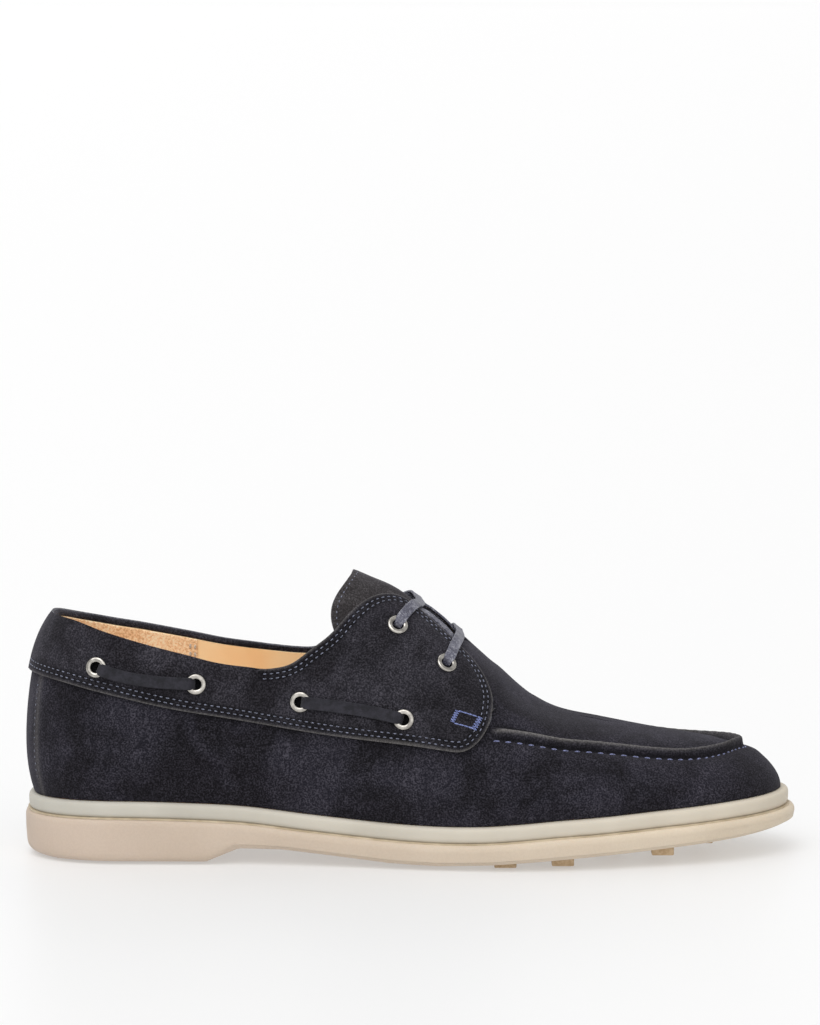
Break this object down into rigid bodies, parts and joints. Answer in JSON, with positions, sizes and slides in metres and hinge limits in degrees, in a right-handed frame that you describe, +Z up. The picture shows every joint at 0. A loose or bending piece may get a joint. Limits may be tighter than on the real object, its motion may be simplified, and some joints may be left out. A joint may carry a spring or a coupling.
{
  "type": "boat shoe",
  "caption": "Dark suede boat shoe for the right foot, with a cream rubber sole, a raised moc-toe seam and nickel eyelets.",
  "frame": {"origin": "on the floor under the middle of the shoe's bounding box, the floor being the plane of the flat spots under heel and ball", "axes": "+X from heel to toe, +Z up, -Y to the outer side of the foot, +Y to the inner side"},
  "size_m": [0.299, 0.108, 0.1097],
  "materials": {
    "outsole_rubber": "matte cream moulded rubber with a fine diamond texture on the side",
    "midsole_rubber": "matte grey-cream rubber",
    "lining_leather": "tan, smooth in front and napped at the heel",
    "suede": "very dark navy suede with a soft uneven nap",
    "band_suede": "very dark navy suede",
    "tongue_suede": "dark brown-grey suede with a raw edge",
    "waxed_lace": "waxed, mottled grey-blue",
    "strap_leather": "semi-matte navy with a lighter cut edge",
    "nickel": "bright nickel plate"
  },
  "bodies": {
    "root": {"outsole": "outsole_rubber", "welt_midsole": "midsole_rubber", "insole": "lining_leather", "upper": "suede", "collar_band": "band_suede", "tongue": "tongue_suede", "front_lace": "waxed_lace", "throat_eyelet_outer_1": "nickel", "throat_eyelet_outer_2": "nickel", "side_eyelet_outer_1": "nickel", "side_eyelet_outer_2": "nickel", "side_eyelet_outer_3": "nickel", "side_eyelet_outer_4": "nickel", "side_lace_outer_back": "strap_leather", "side_lace_outer_front": "strap_leather", "throat_eyelet_inner_1": "nickel", "throat_eyelet_inner_2": "nickel", "side_eyelet_inner_1": "nickel", "side_eyelet_inner_2": "nickel", "side_eyelet_inner_3": "nickel", "side_eyelet_inner_4": "nickel", "side_lace_inner_back": "strap_leather", "side_lace_inner_front": "strap_leather"}
  },
  "joints": []
}
